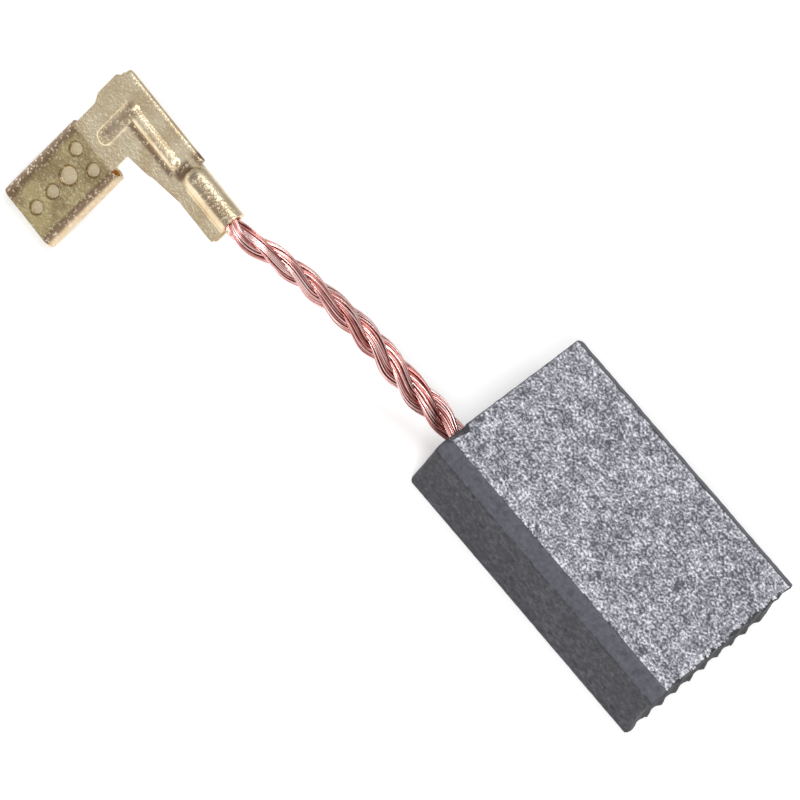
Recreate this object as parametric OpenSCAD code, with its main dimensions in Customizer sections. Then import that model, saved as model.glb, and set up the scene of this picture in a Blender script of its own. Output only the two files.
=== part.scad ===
// Carbon brush for a hand-held power tool: a graphite block with a flexible
// copper pigtail tamped into its back end and a flag push-on terminal crimped
// to the free end. The block lies on one large face, its contact face toward
// +X and its pigtail end toward -X. The origin is the middle of its underside.

/* [Carbon block] */
// Length of the block's underside along X
block_l = 24.3; // [18:0.1:32]
// Width of the block along Y
block_w = 16; // [12:0.5:20]
// Thickness of the block along Z
block_t = 6.3; // [5.5:0.1:9]
// Chamfer along both long edges of the upper face
long_chamfer = 1; // [0.3:0.1:1.6]
// Fine bevel along the upper edge of the pigtail end
end_bevel = 0.15; // [0.05:0.05:0.4]
// Radius of the upright corners
corner_r = 0.6; // [0.2:0.1:1]

/* [Contact face] */
// Radius of the hollow face, which suits the commutator
face_r = 16; // [12:1:30]
// Height of the commutator's axis above the underside
face_z = 3.9; // [2:0.1:4.5]
// Distance from one bedding ridge to the next
ridge_pitch = 1.6; // [1:0.1:2.5]
// Depth of the hollows between the ridges
ridge_depth = 0.4; // [0.2:0.05:0.6]
// Width of a ridge's flat crest
ridge_land = 0.25; // [0.1:0.05:0.5]
// Plain margin at each end of the row of ridges
ridge_margin = 0.4; // [0.2:0.1:1]

/* [Tamped hole] */
// Diameter of the blind hole that holds the pigtail
hole_d = 3; // [2.6:0.1:3.6]
// Depth of that hole
hole_depth = 8.5; // [6:0.5:12]
// Length of pigtail inside the hole
tamped_l = 8; // [5:0.5:8]

/* [Pigtail] */
// Diameter of the rope where it hangs free
rope_d = 2; // [1.6:0.1:2.4]
// Diameter of the rope where it is packed into the block
rope_neck_d = 1.7; // [1.4:0.1:2]
// Diameter of the rope where the crimp squeezes it
rope_crimp_d = 1.3; // [1.2:0.1:1.6]

/* [Terminal sheet] */
// Thickness of the brass sheet
sheet_t = 0.35; // [0.25:0.05:0.5]
// Turn of the terminal about the crimp's axis, in degrees
terminal_turn = -56; // [-75:1:-45]
// From the crimp's mouth to the far edge of the corner plate
arm_l = 13.5; // [12.5:0.5:16]
// From the crimp's axis to the folded edge
fold_reach = 1.35; // [1.25:0.05:1.8]
// How far the folded edge stops short of the plate's far edge
hem_gap = 0.3; // [0.2:0.05:0.6]
// From the crimp's axis to the inner corner of the plate
inner_reach = 2.95; // [2.7:0.05:3.3]

/* [Crimp barrel] */
// Length of the crimp barrel
barrel_l = 4.7; // [3.5:0.1:5.5]
// Gap between the squeezed rope and the barrel
crimp_clear = 0.02; // [0.01:0.01:0.05]
// From the crimp's axis to the edge of the pressed flange
flange_reach = 2.05; // [1.8:0.05:2.2]
// Radius of the hollow corner between barrel and flange
barrel_fillet = 0.15; // [0.1:0.05:0.3]

/* [Stiffening rib] */
// Width of the rib's long leg
rib_w = 1; // [0.8:0.1:1.3]
// Width of the rib's short leg
rib_short_w = 1.3; // [1:0.1:1.5]
// Height of the rib above the plate
rib_h = 0.35; // [0.2:0.05:0.4]
// Radius of the hollow corner round the rib's foot
rib_fillet = 0.2; // [0.1:0.05:0.3]
// Length of the leg along the crimp's axis, from the rib's corner to its tip
rib_long = 5.4; // [3.5:0.1:5.5]
// Length of the leg toward the receptacle, from the rib's corner to its tip
rib_short = 3.5; // [2:0.1:3.6]

/* [Receptacle] */
// Width of the tab that it takes
tab_w = 4.8; // [4.2:0.1:5.2]
// Thickness of the tab that it takes
tab_t = 0.5; // [0.4:0.1:0.8]
// Side play of the tab, both sides together
tab_play = 0.1; // [0.05:0.05:0.3]
// Length of the rolled part
receptacle_l = 7.5; // [6:0.1:9]
// Outer diameter of the rolled sides
roll_d = 1.5; // [1.4:0.1:2]
// Step down from the corner plate to the receptacle's floor
joggle = 0.15; // [0.05:0.05:0.3]
// Diameter of the small pressed dimples
dimple_d = 1.1; // [0.8:0.1:1.3]
// Diameter of the large pressed dimple
big_dimple_d = 1.5; // [1.2:0.1:1.8]
// Depth of the dimples
dimple_depth = 0.2; // [0.1:0.05:0.25]
// Distance between dimples along the receptacle
dimple_pitch = 1.78; // [1.6:0.02:1.9]

/* [Hidden] */
$fn = 48;

// Pigtail route as [x, y, z, diameter]: from the bottom of the tamped hole,
// out of the block's end and in an easy S up to the crimp.
exit_x = -block_l / 2;
pig_y = -4.4;
pig_z = 3.15;
route = [
    [exit_x + tamped_l, pig_y, pig_z, rope_neck_d],
    [exit_x + 4, pig_y, pig_z, rope_neck_d],
    [exit_x, pig_y, pig_z, rope_neck_d],
    [-13.55, -4.45, 3.2, rope_d],
    [-15.55, -4.9, 3.65, rope_d + 0.3],
    [-17.85, -5.55, 4.5, rope_d + 0.2],
    [-20.35, -6.35, 5.75, rope_d + 0.1],
    [-22.85, -7.43, 7.15, rope_d],
    [-25.25, -8.71, 8.5, rope_d - 0.15],
    [-27.75, -10.1, 9.75, rope_d - 0.25],
    [-29.75, -11.23, 10.5, rope_d - 0.3],
    [-31.35, -12.02, 10.85, rope_d - 0.3],
    [-32.45, -12.26, 11, rope_crimp_d + 0.2],
    [-32.72, -12.23, 11.07, rope_crimp_d],
    [-34.72, -12.16, 11.07, rope_crimp_d],
    [-37.12, -12.08, 11.07, rope_crimp_d]
];
mouth = route[len(route) - 3];
core_end = route[len(route) - 1];
heading = atan2(core_end[1] - mouth[1], core_end[0] - mouth[0]);
rope_sides = 8;

// Terminal: X runs from the crimp's mouth along its axis, Y toward the
// receptacle's mouth, Z out of the face with the rib. Z = 0 is the seam
// between the two layers of sheet and holds the crimp's axis.
bore_r = rope_crimp_d / 2 + crimp_clear;
barrel_r = bore_r + sheet_t;
roll_r = roll_d / 2;
rec_w = tab_w + tab_play + 2 * sheet_t;
roll_out = 0.08;
rec_x = arm_l - rec_w / 2 + roll_out;
floor_top = sheet_t - joggle;
floor_low = floor_top - sheet_t;
bump_h = dimple_depth * 0.75;
roll_tip = floor_low - bump_h - tab_t;
hem_x = arm_l - hem_gap;
neck_x0 = rec_x - rec_w / 2 + roll_r;
neck_x1 = rec_x + rec_w / 2 - roll_r + 0.3;
roll_y0 = inner_reach + 1.9;
roll_y1 = roll_y0 + receptacle_l;
rib_x = rec_x + roll_out;
rib_y = 0.5;
// Arcs where the sheet steps down: round the corner plate, then at the floor
plate_arc_r = 2.9;
plate_arc_y = inner_reach - 2.3;
floor_arc_r = 6;
floor_arc_y = roll_y0 - 0.33;

// Contact face: its lower edge stands out past the upper one
foot_x = block_l / 2;
face_x = foot_x + sqrt(pow(face_r, 2) - pow(face_z, 2));
groove_w = ridge_pitch - ridge_land;
groove_r = (pow(groove_w / 2, 2) + pow(ridge_depth, 2)) / (2 * ridge_depth);
groove_n = floor((block_w - 2 * ridge_margin + ridge_land) / ridge_pitch);

// Chip out of the upper edge over the pigtail: height and length
chip_h = 0.55;
chip_l = 1.4;

// ---- helpers ----

// Unit vector
function unit(v) = v / norm(v);

// Points of an outline whose corners [x, y, r] are rounded to radius r
function soft(pts, n = 5) = [
    for (i = [0 : len(pts) - 1])
        let (a = pts[(i + len(pts) - 1) % len(pts)], b = pts[i], c = pts[(i + 1) % len(pts)])
        if (b[2] <= 0) [b[0], b[1]]
        else
            let (
                p = [b[0], b[1]],
                u = unit([a[0], a[1]] - p), w = unit([c[0], c[1]] - p),
                half = acos(max(-1, min(1, u * w))) / 2,
                m = p + unit(u + w) * b[2] / sin(half),
                f = p + u * b[2] / tan(half) - m, g = p + w * b[2] / tan(half) - m,
                sweep = acos(max(-1, min(1, unit(f) * unit(g))))
            )
            each [for (k = [0 : n])
                m + (f * sin(sweep * (1 - k / n)) + g * sin(sweep * k / n)) / sin(sweep)]
];

// One ring of the rope about point p, square to direction t
function ring(p, t) =
    let (s = unit(cross(t, [0, 0, 1])), u = cross(s, t), r = p[3] / 2)
    [for (k = [0 : rope_sides - 1])
        let (a = 360 * (k + 0.5) / rope_sides)
        [p[0], p[1], p[2]] + r * (cos(a) * s + sin(a) * u)];

function xyz(p) = [p[0], p[1], p[2]];

function heading_at(i) = unit(
    xyz(route[min(i + 1, len(route) - 1)]) - xyz(route[max(i - 1, 0)]));

module rope_tube() {
    n = len(route);
    m = rope_sides;
    pts = [for (i = [0 : n - 1]) each ring(route[i], heading_at(i))];
    walls = [for (i = [0 : n - 2], k = [0 : m - 1])
        [i * m + k, i * m + (k + 1) % m, (i + 1) * m + (k + 1) % m, (i + 1) * m + k]];
    first = [for (k = [0 : m - 1]) m - 1 - k];
    last = [for (k = [0 : m - 1]) (n - 1) * m + k];
    polyhedron(points = pts, faces = concat([first], walls, [last]));
}

// ---- block ----

// Outline seen from above
module block_plan() {
    polygon(soft([
        [-block_l / 2, -block_w / 2, corner_r * 0.6],
        [foot_x + 0.05, -block_w / 2, corner_r],
        [foot_x + 0.05, block_w / 2, corner_r],
        [-block_l / 2, block_w / 2, corner_r * 0.6]
    ]));
}

// Space of the commutator, with a ring for each groove between two ridges
module commutator() {
    translate([face_x, 0, face_z]) rotate([90, 0, 0]) rotate_extrude() {
        translate([0, -block_w]) square([face_r, 2 * block_w]);
        for (i = [0 : groove_n - 1])
            translate([face_r + ridge_depth - groove_r, (i - (groove_n - 1) / 2) * ridge_pitch])
                circle(r = groove_r);
    }
}

// Section across the block, with the two chamfered upper edges
module block_section() {
    polygon([
        [-block_w / 2, 0], [block_w / 2, 0],
        [block_w / 2, block_t - long_chamfer], [block_w / 2 - long_chamfer, block_t],
        [-block_w / 2 + long_chamfer, block_t], [-block_w / 2, block_t - long_chamfer]
    ]);
}

module carbon_block() {
    color([0.33, 0.33, 0.35])
    difference() {
        intersection() {
            linear_extrude(block_t) block_plan();
            translate([-block_l / 2 - 1, 0, 0])
                rotate([90, 0, 90]) linear_extrude(block_l + 3) block_section();
        }
        commutator();
        // blind hole for the pigtail
        translate([exit_x - 1, pig_y, pig_z])
            rotate([0, 90, 0]) cylinder(d = hole_d, h = hole_depth + 1);
        // fine bevel on the upper edge of the pigtail end
        translate([exit_x, 0, block_t - end_bevel])
            rotate([0, -45, 0]) translate([-block_t, -block_w, 0])
                cube([2 * block_t, 2 * block_w, block_t]);
        // chipped edge between the chamfer and the pigtail
        translate([exit_x, -block_w / 2 + long_chamfer + 0.4, block_t - chip_h])
            rotate([0, -50, -12]) translate([-2, -2, 0]) cube([4, 2 + chip_l, 2]);
    }
}

// Packed copper and graphite powder round the rope in the blind hole
module tamping_plug() {
    color([0.45, 0.3, 0.24])
    translate([exit_x, pig_y, pig_z]) rotate([0, 90, 0])
    difference() {
        cylinder(d = hole_d, h = hole_depth);
        translate([0, 0, -1]) cylinder(d = rope_neck_d, h = tamped_l + 1);
    }
}

// Flexible rope of fine bare copper wires
module pigtail() {
    color([0.8, 0.5, 0.42]) rope_tube();
}

// ---- terminal ----

// Upper layer: flange, arm, corner plate and neck
module upper_sheet() {
    polygon(soft([
        [0, 0, 0],
        [barrel_l / 2, -barrel_r * 0.9, 0],
        [barrel_l, -barrel_r * 0.9, 0],
        [barrel_l, sheet_t - fold_reach, 0],
        [hem_x, sheet_t - fold_reach, 0.15],
        [hem_x, -fold_reach * 0.45, 0.1],
        [arm_l, -fold_reach * 0.25, 0.1],
        [arm_l, inner_reach - 1.3, 0.2],
        [neck_x1, inner_reach - 0.65, 0.15],
        [neck_x1, roll_y0, 0],
        [neck_x1 - 0.35, roll_y0 + 0.6, 0],
        [neck_x0, roll_y0 + 0.6, 0],
        [neck_x0, inner_reach, 0.2],
        [barrel_l + 2, flange_reach + 0.6, 0.4],
        [barrel_l + 1.15, flange_reach + 0.24, 0.3],
        [barrel_l - 0.4, flange_reach - 0.22, 0.4],
        [barrel_l - 1.3, flange_reach, 0.4],
        [0, flange_reach, 0.1]
    ]));
}

// Lower layer: folded under along the arm, a little longer at the mouth
module lower_sheet() {
    polygon(soft([
        [-0.12, 0, 0],
        [barrel_l / 2, -barrel_r * 0.9, 0],
        [barrel_l, -barrel_r * 0.9, 0],
        [barrel_l, sheet_t - fold_reach, 0],
        [hem_x - 0.15, sheet_t - fold_reach, 0.3],
        [hem_x - 0.15, inner_reach - 0.5, 0.3],
        [neck_x0 + 0.3, inner_reach - 0.5, 0.3],
        [barrel_l + 2.2, flange_reach + 0.68, 0.6],
        [barrel_l - 1.1, flange_reach + 0.12, 0.5],
        [-0.12, flange_reach - 0.1, 0.15]
    ]));
}

// Where a hollow corner of radius f, between the sheet and a round of radius r
// whose centre lies drop below the sheet's face, meets the sheet and the round
function corner_foot(r, drop, f) = sqrt(pow(r + f, 2) - pow(f + drop, 2));
function corner_rise(r, drop, f) = (f + drop) * r / (r + f) - drop;

// That hollow corner, with the sheet's face at Y = 0
module hollow_corner(r, drop, f) {
    foot = corner_foot(r, drop, f);
    difference() {
        translate([0, -sheet_t / 2]) square([foot, sheet_t / 2 + corner_rise(r, drop, f)]);
        translate([foot, f]) circle(r = f);
    }
}

// Round rod along X whose far end is a dome
module domed_rod(r, len) {
    rotate([0, 90, 0]) rotate_extrude()
        intersection() {
            union() {
                square([r, len]);
                translate([0, len]) circle(r = r);
            }
            square([r, len + r]);
        }
}

// Barrel round the rope, and the hollow corners to its flange
module barrel() {
    dome_x = barrel_l - barrel_r * 0.7;
    domed_rod(barrel_r, dome_x);
    for (s = [0, 1]) mirror([0, 0, s])
        rotate([90, 0, 90]) linear_extrude(dome_x)
            translate([0, sheet_t]) hollow_corner(barrel_r, sheet_t, barrel_fillet);
}

// Radius of the rib's crown from its width
function crown(w) = (pow(w / 2, 2) + pow(rib_h, 2)) / (2 * rib_h);
function rib_foot(w) = corner_foot(crown(w), crown(w) - rib_h, rib_fillet);

// Half of the rib's section, with the sheet's face at Y = 0
module rib_half(w) {
    r = crown(w);
    intersection() {
        translate([0, rib_h - r]) circle(r = r);
        translate([0, -sheet_t / 2]) square([r, sheet_t + rib_h]);
    }
    hollow_corner(r, r - rib_h, rib_fillet);
}

// Straight leg of the rib along X, with a round end
module rib_leg(w, len) {
    rotate([90, 0, 90]) linear_extrude(len)
        for (s = [0, 1]) mirror([s, 0]) rib_half(w);
    translate([len, 0, 0]) rotate([0, 0, -90]) rotate_extrude(angle = 180) rib_half(w);
}

module rib() {
    translate([rib_x, rib_y, sheet_t]) {
        rotate([0, 0, 180]) rib_leg(rib_w, rib_long - rib_foot(rib_w));
        rotate([0, 0, 90]) rib_leg(rib_short_w, rib_short - rib_foot(rib_short_w));
        rotate([0, 0, 180]) rotate_extrude(angle = 180) rib_half(rib_short_w);
    }
}

// Section across the receptacle: floor with both sides rolled under
module receptacle_section() {
    translate([-rec_w / 2 + roll_r, floor_low]) square([rec_w - 2 * roll_r, sheet_t]);
    for (s = [0, 1]) mirror([s, 0])
        translate([-rec_w / 2 + roll_r, floor_top - roll_r])
            difference() {
                circle(r = roll_r);
                circle(r = roll_r - sheet_t);
                translate([0, roll_tip - floor_top + roll_r])
                    square([roll_r + 1, floor_low - roll_tip]);
            }
}

// Dimple places as [x, y, diameter]
dimple_y = roll_y1 - 1.2;
dimples = [
    [rec_x, dimple_y, dimple_d],
    [rec_x, dimple_y - dimple_pitch, dimple_d],
    [rec_x, dimple_y - 2 * dimple_pitch, big_dimple_d],
    [rec_x - 1, dimple_y - 3 * dimple_pitch, dimple_d],
    [rec_x + 1, dimple_y - 3 * dimple_pitch, dimple_d]
];

// Sheet and receptacle, stepped down from plate to neck and from neck to floor
module stepped_sheet() {
    difference() {
        union() {
            linear_extrude(sheet_t) upper_sheet();
            translate([0, 0, -sheet_t]) linear_extrude(sheet_t) lower_sheet();
            translate([neck_x0, roll_y0 - 0.7, floor_low])
                cube([neck_x1 - neck_x0, 0.75, sheet_t]);
            translate([rec_x, roll_y1, 0])
                rotate([90, 0, 0]) linear_extrude(receptacle_l) receptacle_section();
            // back of each dimple stands up against the tab
            for (d = dimples)
                translate([d[0], d[1], floor_low - bump_h])
                    cylinder(d1 = d[2] * 0.75, d2 = d[2], h = bump_h + sheet_t / 2);
        }
        translate([0, 0, sheet_t - joggle / 2]) linear_extrude(sheet_t) difference() {
            translate([neck_x0 - 0.2, inner_reach - 0.5]) square([rec_w, roll_y0]);
            translate([rib_x, plate_arc_y]) circle(r = plate_arc_r);
        }
        translate([rec_x, floor_arc_y + floor_arc_r, floor_top])
            cylinder(r = floor_arc_r, h = sheet_t);
        for (d = dimples)
            translate([d[0], d[1], floor_top - dimple_depth])
                cylinder(d1 = d[2] * 0.8, d2 = d[2], h = dimple_depth + 0.001);
    }
}

module flag_terminal() {
    difference() {
        union() {
            stepped_sheet();
            // folded outer edge
            translate([barrel_l, sheet_t - fold_reach, 0])
                domed_rod(sheet_t, hem_x - sheet_t - barrel_l);
            barrel();
            rib();
        }
        // rope hole, closed at its inner end and flared at its mouth
        rotate([0, 90, 0]) {
            translate([0, 0, -1]) cylinder(r = bore_r, h = barrel_l + 0.75);
            translate([0, 0, -0.5]) cylinder(r1 = bore_r + 0.25, r2 = bore_r, h = 0.6);
        }
    }
}

module terminal() {
    color([0.78, 0.73, 0.58])
    translate(xyz(mouth)) rotate([terminal_turn, 0, heading]) flag_terminal();
}

carbon_block();
tamping_plug();
pigtail();
terminal();
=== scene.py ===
# %% [markdown]
# # Dressing a carbon brush
#
# A carbon brush carries current to the spinning commutator of a motor. Ours has three things to
# look at: a block of pressed graphite, a limp rope of bare copper wires, and a flag terminal
# folded from pale brass. The solids come ready made from CAD. This lesson gives them a camera,
# light and finishes, spins the rope out of single wires, and wears the block's sharp edges.
#
# All lengths in the code are millimetres until MM turns them into Blender's metres.

# %% Load the model
import math
import random

import bpy
from mathutils import Matrix, Vector, noise


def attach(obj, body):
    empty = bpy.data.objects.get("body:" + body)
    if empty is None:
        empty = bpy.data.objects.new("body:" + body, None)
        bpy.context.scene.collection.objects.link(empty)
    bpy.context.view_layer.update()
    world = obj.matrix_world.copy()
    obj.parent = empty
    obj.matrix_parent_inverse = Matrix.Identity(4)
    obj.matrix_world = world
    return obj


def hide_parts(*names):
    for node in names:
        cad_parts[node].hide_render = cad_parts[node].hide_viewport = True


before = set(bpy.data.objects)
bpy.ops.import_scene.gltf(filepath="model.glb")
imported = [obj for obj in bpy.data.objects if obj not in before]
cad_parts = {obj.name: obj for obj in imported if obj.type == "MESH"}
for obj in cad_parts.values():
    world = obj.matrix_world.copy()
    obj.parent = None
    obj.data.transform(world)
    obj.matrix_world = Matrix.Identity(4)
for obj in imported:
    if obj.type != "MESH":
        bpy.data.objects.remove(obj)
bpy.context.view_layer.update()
MM = 0.001
print("nodes:", ", ".join(sorted(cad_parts)))

# %% [markdown]
# ## Camera
#
# A long lens from far off keeps the parallel edges of a small part nearly parallel. We look down
# on the block at 57 degrees and roll the camera, so that the block's long axis runs down to the
# right and the terminal fills the opposite corner. The camera is turned by three directions of
# its own: right, up, and back towards the lens. Euler angles would hide which is which.

# %% Place the camera
AIM = Vector((-17.25, -4.0, -0.2)) * MM
DISTANCE = 260 * MM
ROLL = math.radians(39.25)
LENS = 159.4
SENSOR = 36
back = Vector((0.1158, -0.5330, 0.8381)).normalized()
level_right = Vector((0, 0, 1)).cross(back).normalized()
level_up = back.cross(level_right)
right = level_right * math.cos(ROLL) + level_up * math.sin(ROLL)
up = back.cross(right)

camera_data = bpy.data.cameras.new("camera")
camera_data.lens = LENS
camera_data.sensor_width = SENSOR
camera_data.clip_start = 0.01
camera_data.clip_end = 10
camera = bpy.data.objects.new("camera", camera_data)
bpy.context.scene.collection.objects.link(camera)
bpy.context.scene.camera = camera
camera.location = AIM + back * DISTANCE
camera.rotation_mode = "QUATERNION"
camera.rotation_quaternion = Matrix((right, up, back)).transposed().to_quaternion()
print("camera at", [round(c / MM, 1) for c in camera.location], "mm")

# %% [markdown]
# ## The rope's line
#
# The CAD tube follows sixteen points, each with the rope's thickness there. The same points guide
# the wires. Between them a Catmull-Rom curve runs smoothly through every point, and we walk along
# it in short equal steps. A Bezier curve object would do too, but then the wires could not be
# laid along it one by one.

# %% The points of the route
ROPE_D = 2.0
NECK_D = 1.7  # in the block's hole
CRIMP_D = 1.3  # in the terminal's barrel
EXIT = (-12.15, -4.4, 3.15)
MOUTH = (-32.72, -12.23, 11.07)
ROUTE = [
    (-4.15, -4.4, 3.15, NECK_D),
    (-8.15, -4.4, 3.15, NECK_D),
    (*EXIT, NECK_D),
    (-13.55, -4.45, 3.2, ROPE_D),
    (-15.55, -4.9, 3.65, ROPE_D + 0.3),
    (-17.85, -5.55, 4.5, ROPE_D + 0.2),
    (-20.35, -6.35, 5.75, ROPE_D + 0.1),
    (-22.85, -7.43, 7.15, ROPE_D),
    (-25.25, -8.71, 8.5, ROPE_D - 0.15),
    (-27.75, -10.1, 9.75, ROPE_D - 0.25),
    (-29.75, -11.23, 10.5, ROPE_D - 0.3),
    (-31.35, -12.02, 10.85, ROPE_D - 0.3),
    (-32.45, -12.26, 11, CRIMP_D + 0.2),
    (*MOUTH, CRIMP_D),
    (-34.72, -12.16, 11.07, CRIMP_D),
    (-37.12, -12.08, 11.07, CRIMP_D),
]
print("route points:", len(ROUTE))

# %% A smooth line in equal steps
STEP = 0.3
FINE = 24  # samples of the curve between two points of the route


def through(points):
    """A smooth list of 4-vectors through every point."""
    pts = [Vector(p) for p in points]
    pts = [pts[0] * 2 - pts[1]] + pts + [pts[-1] * 2 - pts[-2]]
    out = []
    for a, b, c, d in zip(pts, pts[1:], pts[2:], pts[3:]):
        span = [max((q - p).to_3d().length, 1e-6) ** 0.5 for p, q in ((a, b), (b, c), (c, d))]
        m1 = ((b - a) / span[0] - (c - a) / (span[0] + span[1]) + (c - b) / span[1]) * span[1]
        m2 = ((c - b) / span[1] - (d - b) / (span[1] + span[2]) + (d - c) / span[2]) * span[1]
        for k in range(FINE):
            t = k / FINE
            out.append(b * (2 * t**3 - 3 * t**2 + 1) + m1 * (t**3 - 2 * t**2 + t)
                       + c * (-2 * t**3 + 3 * t**2) + m2 * (t**3 - t**2))
    return out + [pts[-2]]


def even_steps(points, step):
    """The same line, resampled at equal steps of length."""
    out = [points[0]]
    left = step
    for p, q in zip(points, points[1:]):
        gap = (q - p).to_3d().length
        while left <= gap:
            out.append(p.lerp(q, left / gap))
            left += step
        left -= gap
    return out


line = even_steps(through(ROUTE), STEP)

# %% [markdown]
# ## Directions that never spin
#
# To lay wires round the line we need two directions square to it at each step. If they turned by
# themselves, they would add a twist of their own. Carrying them along from one step to the next,
# which is called parallel transport, keeps them still.

# %% Directions along the line
spots = [p.to_3d() for p in line]
ahead = [(spots[min(i + 1, len(spots) - 1)] - spots[max(i - 1, 0)]).normalized()
         for i in range(len(spots))]
side = [ahead[0].cross(Vector((0, 0, 1))).normalized()]
for t in ahead[1:]:
    s = side[-1] - t * side[-1].dot(t)
    side.append(s.normalized())
lift = [t.cross(s) for t, s in zip(ahead, side)]
print("carried", len(side), "pairs of directions along the line")

# %% [markdown]
# ## The rope itself
#
# The real pigtail is three loose bundles of wires, each wire about an eighth of a millimetre
# thick, laid round each other to the right. A pattern of twisted lines on a tube would give a
# smooth edge. The real edge bulges at every bundle, so we spin every outer wire as a thin tube of
# its own: the bundles circle the line, and the wires circle their bundle the other way, slowly.
# A plain tube fills the inside of each bundle, where no light shows the wires. Slow noise lets
# every bundle and wire wander a little, and about a third of the wires are duller.

# %% A tube round a path
CORE_SIDES = 10
WIRE_SIDES = 5
ASKEW = Vector((0.1, 0.2, 1))  # a direction that no path starts along
SEED_GAP = 7.3  # distance in the noise between two seeds


def tube(path, radii, sides, verts, faces):
    """Adds a tube with closed ends round a path to verts and faces."""
    n = len(path)
    base = len(verts)
    dirs = [(path[min(i + 1, n - 1)] - path[max(i - 1, 0)]).normalized() for i in range(n)]
    s = dirs[0].cross(ASKEW).normalized()
    for p, r, t in zip(path, radii, dirs):
        s = (s - t * s.dot(t)).normalized()
        u = t.cross(s)
        for k in range(sides):
            a = 2 * math.pi * k / sides
            verts.append((p + (s * math.cos(a) + u * math.sin(a)) * r) * MM)
    for i in range(n - 1):
        for k in range(sides):
            a = base + i * sides
            b = base + (i + 1) * sides
            faces.append((a + k, a + (k + 1) % sides, b + (k + 1) % sides, b + k))
    faces.append(tuple(base + k for k in reversed(range(sides))))
    faces.append(tuple(base + (n - 1) * sides + k for k in range(sides)))


def wobble(length, wave, seed):
    """A smooth wander between about -1 and 1, in waves about as long as wave."""
    return noise.noise(Vector((length / wave, seed * SEED_GAP, 0.5)))


print("tubes of", CORE_SIDES, "and", WIRE_SIDES, "sides")

# %% Spin the wires
BUNDLES = 3
BUNDLE_SHARE = 0.53  # a bundle's radius, as a share of the rope's
LAY = 8.6  # length in which a bundle goes once round the rope
WIRES = 19
WIRE_D = 0.125
BACK_LAY = -30  # length in which a wire goes once round its bundle, the other way
CORE_DEPTH = 1.2 * WIRE_D
BUNDLE_DRIFT = 0.25  # radians that a bundle wanders from its place round the rope
BUNDLE_LOOSE = 0.1  # share by which it moves in and out
WIRE_DRIFT = 0.32  # radians that a wire wanders round its bundle
WIRE_LOOSE = 0.05  # length by which it moves in and out
DULL_SHARE = 0.3
rng = random.Random(7)


def round_line(i, centre, angle, radius):
    """The point at an angle and radius from a centre, square to the line at step i."""
    return centre + side[i] * math.cos(angle) * radius + lift[i] * math.sin(angle) * radius


verts = []
faces = []
core_faces = []
dull_faces = []
for b in range(BUNDLES):
    centres = []
    bundle_r = []
    for i, p in enumerate(line):
        full = p.w / 2
        r = full * BUNDLE_SHARE
        walked = i * STEP
        a = 2 * math.pi * (walked / LAY + b / BUNDLES)
        a += BUNDLE_DRIFT * wobble(walked, wave=6, seed=b + 1)
        swing = (full - r) * (1 + BUNDLE_LOOSE * wobble(walked, wave=5, seed=b + 9))
        centres.append(round_line(i, spots[i], a, swing))
        bundle_r.append(r)
    first = len(faces)
    tube(centres, [r - CORE_DEPTH for r in bundle_r], CORE_SIDES, verts, faces)
    core_faces += range(first, len(faces))
    for w in range(WIRES):
        path = []
        seed = b * 50 + w
        for i, c in enumerate(centres):
            walked = i * STEP
            a = 2 * math.pi * (walked / BACK_LAY + w / WIRES)
            a += WIRE_DRIFT * wobble(walked, wave=3.5, seed=seed)
            r = bundle_r[i] - WIRE_D / 2
            r += WIRE_LOOSE * wobble(walked, wave=2.5, seed=seed + 0.4)
            path.append(round_line(i, c, a, r))
        first = len(faces)
        tube(path, [WIRE_D / 2] * len(path), WIRE_SIDES, verts, faces)
        if rng.random() < DULL_SHARE:
            dull_faces += range(first, len(faces))

rope_mesh = bpy.data.meshes.new("copper_rope")
rope_mesh.from_pydata([tuple(v) for v in verts], [], faces)
rope_mesh.polygons.foreach_set("use_smooth", [True] * len(rope_mesh.polygons))
rope = bpy.data.objects.new("copper_rope", rope_mesh)
bpy.context.scene.collection.objects.link(rope)
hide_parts("pigtail")
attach(rope, "root")
[s * MM for s in spots]
print("rope faces:", len(rope_mesh.polygons))

# %% [markdown]
# ## A worn block
#
# Pressed carbon has no sharp edges: every handling rounds them and breaks crumbs out. The CAD
# block is exact, so we take a copy of its mesh, rebuild it as an even skin of small faces, and
# move the skin by a few hundredths of a millimetre of noise. A bevel would round every edge the
# same, and a bump in the finish would leave the outline straight. The ridges of the hollow
# contact face are about half worn away as well, as they are after the first hours of running.

# %% Wear the block
SKIN = 0.15  # size of the new faces
CRUMB = 0.05
CHIP = 0.5  # size of the small crumbs
DENT = 1.4  # size of the large ones
FOOT_X = 12.15  # where the hollow face meets the underside
FACE_R = 16  # radius of the hollow face
FACE_Z = 3.9  # height of the hollow face's axis
FACE_X = FOOT_X + math.sqrt(FACE_R ** 2 - FACE_Z ** 2)
GROOVE_MEAN = 0.2  # mean depth of the grooves between the ridges
RIDGE_WEAR = 0.55  # share of the ridges that is gone
WEAR_FROM = 10.9  # X where the wear sets in
WEAR_REACH = 0.3  # how deep under the contact face it goes
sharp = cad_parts["carbon_block"]
worn = bpy.data.objects.new("worn_block", sharp.data.copy())
bpy.context.scene.collection.objects.link(worn)
skin = worn.modifiers.new("skin", "REMESH")
skin.mode = "VOXEL"
skin.voxel_size = SKIN * MM
rebuilt = bpy.data.meshes.new_from_object(
    worn.evaluated_get(bpy.context.evaluated_depsgraph_get()))
worn.modifiers.clear()
worn.data = rebuilt

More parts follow.
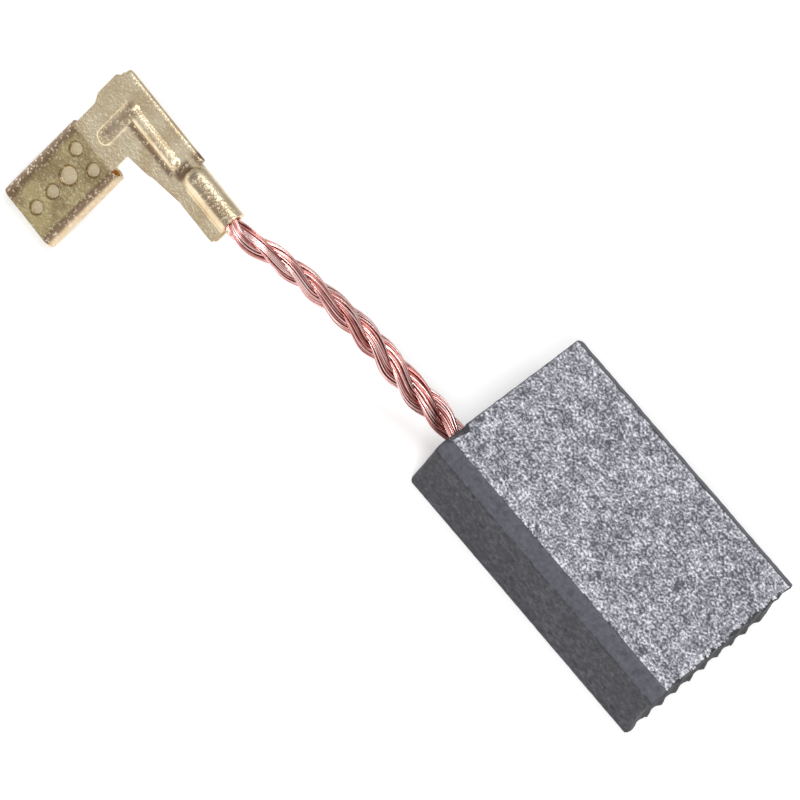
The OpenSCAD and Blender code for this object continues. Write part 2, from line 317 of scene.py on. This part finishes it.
# all normals are read first, because each move of a vertex would have them worked out again
outward = [vertex.normal.copy() for vertex in rebuilt.vertices]
for vertex, normal in zip(rebuilt.vertices, outward):
    spot = vertex.co / MM
    hollow = FACE_X - math.sqrt(FACE_R ** 2 - (spot.z - FACE_Z) ** 2) - GROOVE_MEAN
    if spot.x > hollow - WEAR_REACH:
        share = RIDGE_WEAR * min(1, max(0, (spot.x - WEAR_FROM) / WEAR_REACH))
        spot.x += (hollow - spot.x) * share
    crumb = noise.noise(spot / CHIP) * 0.6 + noise.noise(spot / DENT) * 0.4
    moved = normal * crumb * CRUMB
    if spot.z < SKIN:
        moved.z = 0  # the underside stays flat on the table
    vertex.co = (spot + moved) * MM
rebuilt.polygons.foreach_set("use_smooth", [True] * len(rebuilt.polygons))
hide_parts("carbon_block")
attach(worn, "root")
print("block faces:", len(rebuilt.polygons))

# %% [markdown]
# ## Shader maths that reads like maths
#
# Procedural finishes are sums and products of patterns. Adding Math nodes one by one hides the
# idea, so a small class wraps a socket and turns + - * into Math nodes. Every other node comes
# from one method that takes its type, its settings and its inputs.

# %% A wrapped socket
class Wire:
    """One shader output. Arithmetic on it adds Math nodes."""

    def __init__(self, finish, socket):
        self.finish = finish
        self.socket = socket

    def math(self, operation, *others):
        return self.finish.node("ShaderNodeMath", {"operation": operation}, self, *others)

    def __add__(self, other):
        return self.math("ADD", other)

    __radd__ = __add__

    def __sub__(self, other):
        return self.math("SUBTRACT", other)

    def __rsub__(self, other):
        return self.finish.node("ShaderNodeMath", {"operation": "SUBTRACT"}, other, self)

    def __mul__(self, other):
        return self.math("MULTIPLY", other)

    __rmul__ = __mul__

    def near(self, middle, half, soft):
        """1 within half of the middle, fading to 0 over soft."""
        return 1 - (self - middle).math("ABSOLUTE").ramp(half, half + soft)

    def ramp(self, low, high):
        """0 below low, 1 above high, smooth between."""
        return self.finish.node("ShaderNodeMapRange", {"interpolation_type": "SMOOTHSTEP"},
                                self, low, high, 0.0, 1.0)


print("wire: + - * near ramp")

# %% A finish maker
class Finish:
    """A material under construction."""

    def __init__(self, name):
        self.material = bpy.data.materials.new(name)
        self.material.use_nodes = True
        self.tree = self.material.node_tree
        self.tree.nodes.clear()
        self.shader = self.node("ShaderNodeBsdfPrincipled")
        out = self.tree.nodes.new("ShaderNodeOutputMaterial")
        self.tree.links.new(self.shader.socket, out.inputs["Surface"])

    def plug(self, socket, value):
        """Links a wire to a socket, or sets a plain value on it."""
        if isinstance(value, Wire):
            self.tree.links.new(value.socket, socket)
        elif value is not None:
            socket.default_value = value

    def node(self, kind, settings=None, *inputs, out=0, **named):
        """Any node: settings first, then its inputs by place or by name."""
        made = self.tree.nodes.new(kind)
        for key, value in (settings or {}).items():
            if key != "stops":
                setattr(made, key, value)
                continue
            ramp = made.color_ramp
            while len(ramp.elements) < len(value):
                ramp.elements.new(0.5)
            for element, (position, colour) in zip(ramp.elements, value):
                element.position = position
                element.color = (*colour, 1)
        for key, value in list(enumerate(inputs)) + list(named.items()):
            self.plug(made.inputs[key if isinstance(key, int) else key.replace("_", " ")], value)
        return Wire(self, made.outputs[out])

    def set(self, **values):
        """Sets or links the main shader's inputs."""
        for key, value in values.items():
            self.plug(self.shader.socket.node.inputs[key.replace("_", " ")], value)

    def mm(self):
        """The place on the object in millimetres."""
        here = self.node("ShaderNodeTexCoord", out="Object")
        return self.node("ShaderNodeVectorMath", {"operation": "SCALE"}, here, Scale=1000.0)

    def xyz(self, vector):
        """The three numbers of a vector."""
        split = self.node("ShaderNodeSeparateXYZ", None, vector)
        return [Wire(self, s) for s in split.socket.node.outputs]

    def along(self, place, start, axis):
        """How far a place lies from start along an axis, in millimetres."""
        gap = self.node("ShaderNodeVectorMath", {"operation": "SUBTRACT"}, place, tuple(start))
        return self.node("ShaderNodeVectorMath", {"operation": "DOT_PRODUCT"}, gap, tuple(axis),
                         out="Value")

    def grain(self, place, size, detail=3.0, rough=0.5):
        """Cloudy noise whose lumps are about size millimetres across."""
        return self.node("ShaderNodeTexNoise", {"noise_dimensions": "3D"}, Vector=place,
                         Scale=1.0 / size, Detail=detail, Roughness=rough)

    def stops(self, amount, *stops):
        """Colours at places along a ramp, picked by amount."""
        return self.node("ShaderNodeValToRGB", {"stops": stops}, amount)

    def blend(self, amount, first, second):
        """Mixes two colours."""
        made = self.tree.nodes.new("ShaderNodeMix")
        made.data_type = "RGBA"
        for socket, value in ((made.inputs["Factor"], amount), (made.inputs[6], first),
                              (made.inputs[7], second)):
            self.plug(socket, (*value, 1) if isinstance(value, tuple) else value)
        return Wire(self, made.outputs[2])

    def bump(self, height, depth_mm):
        """A normal tilted by a height pattern."""
        return self.node("ShaderNodeBump", None, Strength=1.0, Distance=depth_mm * MM,
                         Height=height)


def srgb(r, g, b):
    """A colour in screen steps from 0 to 255, turned into linear light."""
    return tuple((c / 255 / 12.92) if c <= 10 else ((c / 255 + 0.055) / 1.055) ** 2.4
                 for c in (r, g, b))


def dress(obj, finish, *more):
    """Gives every slot of an object one finish, then adds slots for more finishes."""
    if not obj.data.materials:
        obj.data.materials.append(finish.material)
    for k in range(len(obj.data.materials)):
        obj.data.materials[k] = finish.material
    for extra in more:
        obj.data.materials.append(extra.material)
    print(obj.name, "wears", finish.material.name, "of", len(finish.tree.nodes), "nodes")


# %% [markdown]
# ## Graphite
#
# The plates are sawn and ground to thickness, which tears the grain open: the large faces glitter
# with flakes lying at all angles, and the near-white flecks in their colour are partly painted
# glints. The long sides and bevels are pressed, or polished by the holder, and stay smooth and
# dark, darker on the long sides than on the upward-facing bevels: painted shade on the sides and
# painted light on the bevels. One material does both, told apart by which way the surface faces
# and how near the edge is. Painting the two by hand would need an image.

# %% Patterns of the graphite
TOP_EDGE = 7.0  # half the width of the torn face
CONTACT_EDGE = 11.55  # where the torn face stops short of the contact face
graphite = Finish("graphite")
place = graphite.mm()
length, across, _ = graphite.xyz(place)
nx, ny, nz = graphite.xyz(graphite.node("ShaderNodeNewGeometry", out="Normal"))
flakes = graphite.grain(place, 0.21, 2.0, 0.6)
clumps = graphite.grain(place, 0.6, 1.0, 0.5)
clouds = graphite.grain(place, 3.2, 2.0, 0.5)
pits = graphite.grain(place, 1.15, 1.0, 0.5).ramp(0.66, 0.74)
threads = graphite.grain(place, 0.34, 3.0, 0.65)
blotches = graphite.grain(place, 0.8, 1.0, 0.5).ramp(0.62, 0.72)
print("graphite patterns: flakes clumps clouds pits threads blotches")

# %% Graphite finish
# the torn grain ends in a ragged line just inside the bevel
ragged = (clumps - 0.5) * 0.9 + (flakes - 0.5) * 0.5
rim_side = TOP_EDGE - across.math("ABSOLUTE") + ragged * 0.7
rim_contact = (CONTACT_EDGE - length) + ragged
rim = rim_side.math("MINIMUM", rim_contact)
near_rim = 1 - rim.ramp(0.1, 0.9)
faces_up_or_down = nz.math("ABSOLUTE").ramp(0.66, 0.7)
faces_sideways = ny.math("ABSOLUTE")
flat = faces_up_or_down * (1 - faces_sideways.ramp(0.2, 0.4)) * rim.ramp(0.0, 0.08)
# partly painted glints: the near-white flecks of this ramp stand for light glinting off the
# flakes, over their real grain and pits
glitter = 0.47 + (flakes - 0.5) * 2.4 + (clumps - 0.5) * 0.95 + (clouds - 0.5) * 0.3
glitter = glitter + near_rim * 0.08 - pits * 0.3
torn = graphite.stops(glitter, (0.12, srgb(80, 80, 88)), (0.34, srgb(122, 122, 131)),
                      (0.5, srgb(152, 152, 161)), (0.68, srgb(184, 184, 193)),
                      (0.9, srgb(236, 236, 244)))

# painted shade: the long sides get a darker grey than the bevels, standing for less light; the
# threads and blotches in it are real grain
side_grain_painted_shade = graphite.stops(threads + (clouds - 0.5) * 0.25 - blotches * 0.25,
                         (0.22, srgb(28, 28, 33)), (0.5, srgb(56, 56, 62)),
                         (0.78, srgb(94, 94, 102)))
# painted light: the bevels that face upwards get a lighter grey than the long sides
bevel_grain_painted_light = graphite.stops(threads - blotches * 0.2,
                          (0.3, srgb(64, 64, 73)), (0.7, srgb(90, 90, 100)))
run_in = srgb(44, 44, 48)
# this mask picks the bevel surfaces that face upwards, and the lighter painted grey goes there
bevel = (nz + (clumps - 0.5) * 0.3).ramp(0.4, 0.6) * faces_sideways.ramp(0.3, 0.5)
contact = nx.ramp(0.4, 0.7)
smooth = graphite.blend(bevel, side_grain_painted_shade, bevel_grain_painted_light)
smooth = graphite.blend(contact, smooth, run_in)
graphite.set(Base_Color=graphite.blend(flat, smooth, torn),
             Roughness=0.6 - flat * 0.1,
             Normal=graphite.bump(flakes * flat + threads * 0.25, 0.04))
dress(worn, graphite)

# %% [markdown]
# ## Copper
#
# Bare copper wire is a pure metal: all of its colour is in its reflection. Bright wires lie beside
# duller ones with a film of oxide, and that keeps neighbours apart, as patches of colour along
# each wire do. The core between them is dark and rough: its dark colour is painted shade for the
# gaps of a real rope, where the light has bounced from wire to wire.

# %% Copper finishes
BRIGHT_COPPER = (srgb(255, 226, 223), srgb(244, 192, 186))
DULL_COPPER = (srgb(234, 168, 160), srgb(202, 130, 126))
SHADED_COPPER = (srgb(178, 106, 98), srgb(126, 70, 66))

copper = Finish("copper_wire")
place = copper.mm()
copper.set(Base_Color=copper.blend(copper.grain(place, 1.2).ramp(0.3, 0.75), *BRIGHT_COPPER),
           Metallic=1.0, Roughness=0.2 + copper.grain(place, 0.5) * 0.12)

dull_copper = Finish("copper_wire_dull")
film = dull_copper.grain(dull_copper.mm(), 0.9).ramp(0.35, 0.65)
dull_copper.set(Base_Color=dull_copper.blend(film, *DULL_COPPER), Metallic=1.0, Roughness=0.3)

# painted shade: the dark core stands for the shade in the gaps between the wires
shaded = Finish("copper_core_painted_shade")
core_shade_patches = shaded.grain(shaded.mm(), 0.6).ramp(0.35, 0.65)
shaded.set(Base_Color=shaded.blend(core_shade_patches, *SHADED_COPPER), Metallic=1.0, Roughness=0.45)

dress(rope, copper, shaded, dull_copper)
for slot, group in ((1, core_faces), (2, dull_faces)):
    for k in group:
        rope.data.polygons[k].material_index = slot
print("core faces:", len(core_faces), "dull faces:", len(dull_faces))

# %% [markdown]
# ## The terminal's own axes
#
# The terminal is tilted in the air, so X, Y and Z say little about its places. We measure from the
# crimp's mouth along three axes of its own instead: U along the crimp, V across it towards the
# receptacle's far end, and W square to the plate. A place becomes three plain distances.

# %% Axes and places on the terminal
TURN = math.radians(-56)
heading = math.atan2(ROUTE[-1][1] - MOUTH[1], ROUTE[-1][0] - MOUTH[0])
stand = Matrix.Rotation(heading, 3, "Z") @ Matrix.Rotation(TURN, 3, "X")
U, V, W = stand.col
RECEPTACLE_U = 10.78
RECEPTACLE_V = 4.85
RIB_U = 10.86
RIB_V = 0.5
BORE_U = RECEPTACLE_U - 2.05  # axis of the inner rolled side
BORE_W = -0.55
DIMPLES = [  # U, V, radius
    (10.78, 11.15, 0.55),
    (10.78, 9.37, 0.55),
    (10.78, 7.59, 0.75),
    (9.78, 5.81, 0.55),
    (11.78, 5.81, 0.55),
]
print("plate faces", [round(c, 3) for c in W])

# %% [markdown]
# ## Brass sheet
#
# The terminal is pale brass with a fine orange-peel grain from the mill. It is painted browner on
# the rolled sides, on the embossed rib and in its creases, and at the neck and crown of the
# barrel:
# painted shade and painted reflection of a dark surround, with some tarnish. The receptacle's
# floor is more golden, and its dimples are rubbed pale; the dimples' rims get painted shade, the
# inner rolled side a painted pinkish reflection and its bore a painted gold reflection. Soft masks
# in U, V and W place each of these, and the grain breaks them up.

# %% Zones of the brass
brass = Finish("pale_brass")
place = brass.mm()
u, v, w = (brass.along(place, MOUTH, axis) for axis in (U, V, W))
patches = brass.grain(place, 1.6)
peel = brass.grain(place, 0.22, 2.0, 0.6)
shade = (patches - 0.5) * 0.8
raised = w.ramp(0.37, 0.5)

receptacle = v.ramp(RECEPTACLE_V - 0.3, RECEPTACLE_V + 0.1)
floor_zone = receptacle * u.near(RECEPTACLE_U, 1.9, 0.4)
outer_roll = receptacle * (u + shade).ramp(RECEPTACLE_U + 1.5, RECEPTACLE_U + 2.1)
# the inner rolled side gets a pinkish tone: painted reflection
inner_roll = receptacle * (1 - (u + shade * 0.5).ramp(RECEPTACLE_U - 2.5, RECEPTACLE_U - 2.0))
valley = receptacle * (u + shade * 0.2).near(RECEPTACLE_U - 2.2, 0.16, 0.25)
rib_short = raised * u.near(RIB_U, 0.5, 0.3) * (v + shade).near(2.0, 1.6, 0.4)
crease = (1 - raised) * (v + shade * 0.3).near(RIB_V + 0.7, 0.12, 0.25) * u.near(8.0, 2.4, 0.4)
saddle = u.near(5.1, 0.25, 0.4) * v.near(0.3, 0.5, 0.5)
fold_end = u.near(4.9, 0.3, 0.6) * (1 - v.ramp(-1.1, -0.7))
barrel_crown = (1 - u.ramp(4.2, 4.6)) * v.near(-0.2, 0.3, 0.2) * w.ramp(0.5, 0.7)

# painted shade and painted reflection, with some tarnish: browner on the outer rolled side, the
# rib, the barrel's neck and crown, the creases and the valley
shade_and_tarnish = 0.0
for zone, strength in ((outer_roll, 0.85), (rib_short, 0.6), (saddle, 0.9), (fold_end, 0.8),
                       (crease, 0.8), (barrel_crown, 0.6), (valley, 0.8)):
    shade_and_tarnish = (zone * strength).math("MAXIMUM", shade_and_tarnish)
shade_and_tarnish = shade_and_tarnish * (1 - peel.ramp(0.56, 0.64) * 0.8)


def reach(first, first_middle, second, second_middle):
    """How far a place lies from a point, given two of its distances."""
    a = first - first_middle
    b = second - second_middle
    return (a * a + b * b).math("SQRT")


# painted shade: a dark brown ring on the wall of each recessed dimple, where it falls in shade
dimple_rim_shade = 0.0
discs = 0.0
for dimple_u, dimple_v, radius in DIMPLES:
    far = reach(u, dimple_u, v, dimple_v)
    discs = far.near(0, radius * 0.82, 0.08) + discs
    dimple_rim_shade = far.near(radius * 0.98, 0.05, 0.07) + dimple_rim_shade
# painted reflection: the inside of the rolled side's bore gets a bright orange gold, the colour of
# brass reflected in brass
bore = receptacle * (1 - reach(u, BORE_U, w, BORE_W).ramp(0.41, 0.44))
specks = peel.ramp(0.55, 0.66) * (1 - discs * 0.5)
print("brass zones:", len(DIMPLES), "dimples and 7 shade_and_tarnish_zones")

# %% Brass finish
PLATE = (srgb(242, 226, 194), srgb(222, 200, 164))
FLOOR_GOLD = (srgb(192, 174, 120), srgb(160, 138, 96))
# the pinkish tone of the painted reflection on the inner rolled side
ROLL_REFLECTION_PINK = srgb(196, 158, 122)
# the brown of the painted shade and reflection, with some tarnish
SHADE_AND_TARNISH_BROWN = srgb(120, 94, 76)
# the brown of the painted shade in the dimples' walls
RIM_SHADE_BROWN = srgb(104, 84, 56)
DISC_PALE = srgb(226, 212, 186)
# the bright gold of the painted reflection inside the bore
BORE_REFLECTION_GOLD = srgb(255, 198, 104)
SPECK_PALE = srgb(252, 244, 214)
colour = brass.blend(patches.ramp(0.35, 0.7), *PLATE)
golden = brass.blend(patches.ramp(0.4, 0.6), *FLOOR_GOLD)
for amount, tint in ((floor_zone * 0.8, golden), (inner_roll * 0.3, ROLL_REFLECTION_PINK),
                     (shade_and_tarnish, SHADE_AND_TARNISH_BROWN), (dimple_rim_shade * 0.6, RIM_SHADE_BROWN), (discs * 0.6, DISC_PALE),
                     (bore, BORE_REFLECTION_GOLD), (specks * 0.4, SPECK_PALE)):
    colour = brass.blend(amount, colour, tint)
brass.set(Base_Color=colour,
          Metallic=1.0,
          Roughness=0.3 + discs * 0.15 + shade_and_tarnish * 0.1,
          Normal=brass.bump(peel, 0.042))
dress(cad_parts["terminal"], brass)

# %% [markdown]
# ## Tamping powder
#
# The hole round the rope is rammed full of copper and graphite powder. It looks like a dry, coarse
# brown plug, so a fine noise sets both its colour and its crumbly bump.

# %% Powder finish
powder = Finish("tamping_powder")
grit = powder.grain(powder.mm(), 0.2, 4.0, 0.7)
powder.set(Base_Color=powder.blend(grit.ramp(0.4, 0.65), srgb(70, 56, 50), srgb(150, 96, 74)),
           Roughness=0.9, Normal=powder.bump(grit, 0.06))
dress(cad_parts["tamping_plug"], powder)

# %% [markdown]
# ## Floor
#
# A pale sheet of card lies under the part. Its shader adds a little light of its own for rays
# that come straight from the camera, from a shiny surface or through a clear one. So it reads as
# white there, while the light that it throws on the part stays plain, and it keeps a soft shadow.

# %% Floor
CARD_CORNERS = [(-1, -1, 0), (1, -1, 0), (1, 1, 0), (-1, 1, 0)]  # in metres
FLOOR_GAP = 0.02  # keeps the card just clear of the block's underside
CARD_GLOW = 0.35
floor_mesh = bpy.data.meshes.new("floor")
floor_mesh.from_pydata(CARD_CORNERS, [], [(0, 1, 2, 3)])
floor = bpy.data.objects.new("floor", floor_mesh)
floor.location = (0, 0, -FLOOR_GAP * MM)
bpy.context.scene.collection.objects.link(floor)

card = Finish("white_card")
card.set(Base_Color=(*srgb(235, 235, 235), 1), Roughness=0.9)
ray = card.node("ShaderNodeLightPath")
straight, glossy, through_glass = (
    Wire(card, ray.socket.node.outputs[name])
    for name in ("Is Camera Ray", "Is Glossy Ray", "Is Transmission Ray"))
shown = (straight + glossy + through_glass).math("MINIMUM", 1.0)
glow = card.node("ShaderNodeEmission", None, (1, 1, 1, 1), CARD_GLOW)
added = card.node("ShaderNodeAddShader", None, card.shader, glow)
mixed = card.node("ShaderNodeMixShader", None, shown, card.shader, added)
card.tree.links.new(mixed.socket, card.tree.nodes["Material Output"].inputs["Surface"])
dress(floor, card)

# %% [markdown]
# ## World and lamps
#
# Metal shows whatever stands round it. An even grey world, a little brighter overhead than at the
# horizon, gives the brass plate a tone of its own. A weak lamp overhead draws the shadow, and a
# small one behind the camera lights up the crest of every wire.

# %% World
HORIZON_LIGHT = 0.42
ZENITH_LIGHT = 0.52
LIGHT_RISES_FROM = 0.1
LIGHT_RISES_TO = 0.9
world = bpy.data.worlds.new("studio")
bpy.context.scene.world = world
world.use_nodes = True
sky = world.node_tree
background = sky.nodes["Background"]
direction = sky.nodes.new("ShaderNodeTexCoord").outputs["Generated"]
split = sky.nodes.new("ShaderNodeSeparateXYZ")
sky.links.new(direction, split.inputs[0])
height = sky.nodes.new("ShaderNodeMapRange")
height.interpolation_type = "SMOOTHSTEP"
limits = (LIGHT_RISES_FROM, LIGHT_RISES_TO, HORIZON_LIGHT, ZENITH_LIGHT)
for socket, value in zip(height.inputs[1:5], limits):
    socket.default_value = value
sky.links.new(split.outputs["Z"], height.inputs[0])
sky.links.new(height.outputs[0], background.inputs["Strength"])
background.inputs["Color"].default_value = (1, 1, 1, 1)
print("world light from", HORIZON_LIGHT, "to", ZENITH_LIGHT)


# %% Lamps
def lamp(name, place, size, power):
    """A square soft lamp that points at the part."""
    data = bpy.data.lights.new(name, "AREA")  # place and size in metres, power in watts
    data.size = size
    data.energy = power
    obj = bpy.data.objects.new(name, data)
    obj.location = place
    obj.rotation_mode = "QUATERNION"
    obj.rotation_quaternion = (AIM - place).to_track_quat("-Z", "Y")
    bpy.context.scene.collection.objects.link(obj)
    print(name, "lamp of", power, "W")


OVERHEAD = Vector((-0.02, 0.04, 0.5))
FRONT_DISTANCE = 0.55
FRONT_DROP = 0.1
lamp("overhead", OVERHEAD, size=0.25, power=0.55)
lamp("front", AIM + back * FRONT_DISTANCE - up * FRONT_DROP, size=0.2, power=1.5)

# %% [markdown]
# ## Colour
#
# The Standard view shows colours as they were written.

# %% Colour management
bpy.context.scene.view_settings.view_transform = "Standard"
